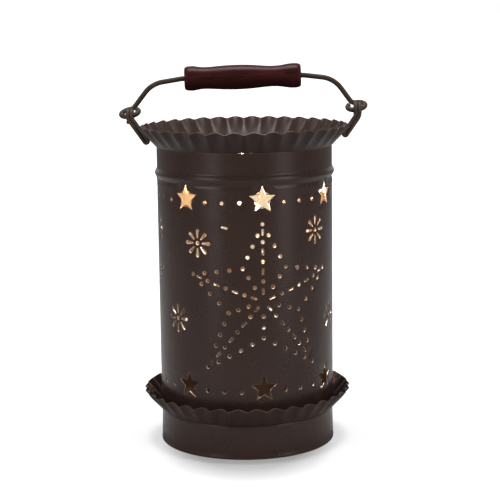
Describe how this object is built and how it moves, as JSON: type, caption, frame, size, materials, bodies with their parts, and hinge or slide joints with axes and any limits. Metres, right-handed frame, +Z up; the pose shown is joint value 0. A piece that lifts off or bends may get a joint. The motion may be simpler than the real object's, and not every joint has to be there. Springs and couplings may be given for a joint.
{
  "type": "wax warmer",
  "caption": "Punched tin cylinder on a crimped pan and base ring, lit by a bulb inside, with a lift-off crimped wax pan that has a wire bail and a turned wooden grip.",
  "frame": {"origin": "centre of the base ring's foot, on the surface that it stands on", "axes": "+Z up the cylinder's axis, -Y out of the front with the big star, +X to the right seen from the front"},
  "size_m": [0.1802, 0.1522, 0.275],
  "materials": {
    "painted_tin": "dark brown satin paint on tin",
    "painted_wire": "thin dark brown paint on steel wire",
    "stained_wood": "dark red-brown stain and satin varnish",
    "black_rubber": "matt black rubber",
    "brass": "plain brass sheet",
    "plated_steel": "zinc plated steel",
    "card_liner": "brown card, stood in for by matt plastic",
    "dark_moulding": "dark brown moulded resin",
    "clear_glass": "clear glass",
    "black_glass": "black glass insulator",
    "tungsten": "tungsten wire, glowing when lit"
  },
  "bodies": {
    "lantern": {"base_ring": "painted_tin", "cord_grommet": "black_rubber", "lower_pan": "painted_tin", "body_shell": "painted_tin", "riser_pipe": "plated_steel", "riser_washer": "plated_steel", "locknut_lower": "plated_steel", "locknut_upper": "plated_steel", "socket_cap": "brass", "socket_shell": "brass", "socket_liner": "card_liner", "socket_body": "dark_moulding", "screw_shell": "brass", "centre_contact": "brass", "terminal_screw_hot": "brass", "terminal_screw_neutral": "plated_steel", "bulb_base": "brass", "bulb_insulator": "black_glass", "bulb_contact": "plated_steel", "bulb_glass": "clear_glass", "bulb_stem": "clear_glass", "bulb_lead_left": "plated_steel", "bulb_lead_right": "plated_steel", "bulb_filament": "tungsten"},
    "wax_pan": {"upper_pan": "painted_tin", "pan_collar": "painted_tin", "ear_left": "painted_wire", "ear_right": "painted_wire"},
    "bail": {"bail_wire": "painted_wire"},
    "grip": {"wood_grip": "stained_wood"}
  },
  "joints": [
    {"name": "pan_lift", "type": "slide", "parent": "lantern", "child": "wax_pan", "axis": [0, 0, 1], "range_m": [0, 0.06]},
    {"name": "bail_swing", "type": "hinge", "parent": "wax_pan", "child": "bail", "pos_m": [0, -0.00182, 0.2401], "axis": [0.9999, 0, 0.0171], "range_deg": [-62, 138]},
    {"name": "grip_spin", "type": "hinge", "parent": "bail", "child": "grip", "pos_m": [-0.00043, 0.01011, 0.26538], "axis": [0.9999, 0, 0.0171], "continuous": true}
  ]
}
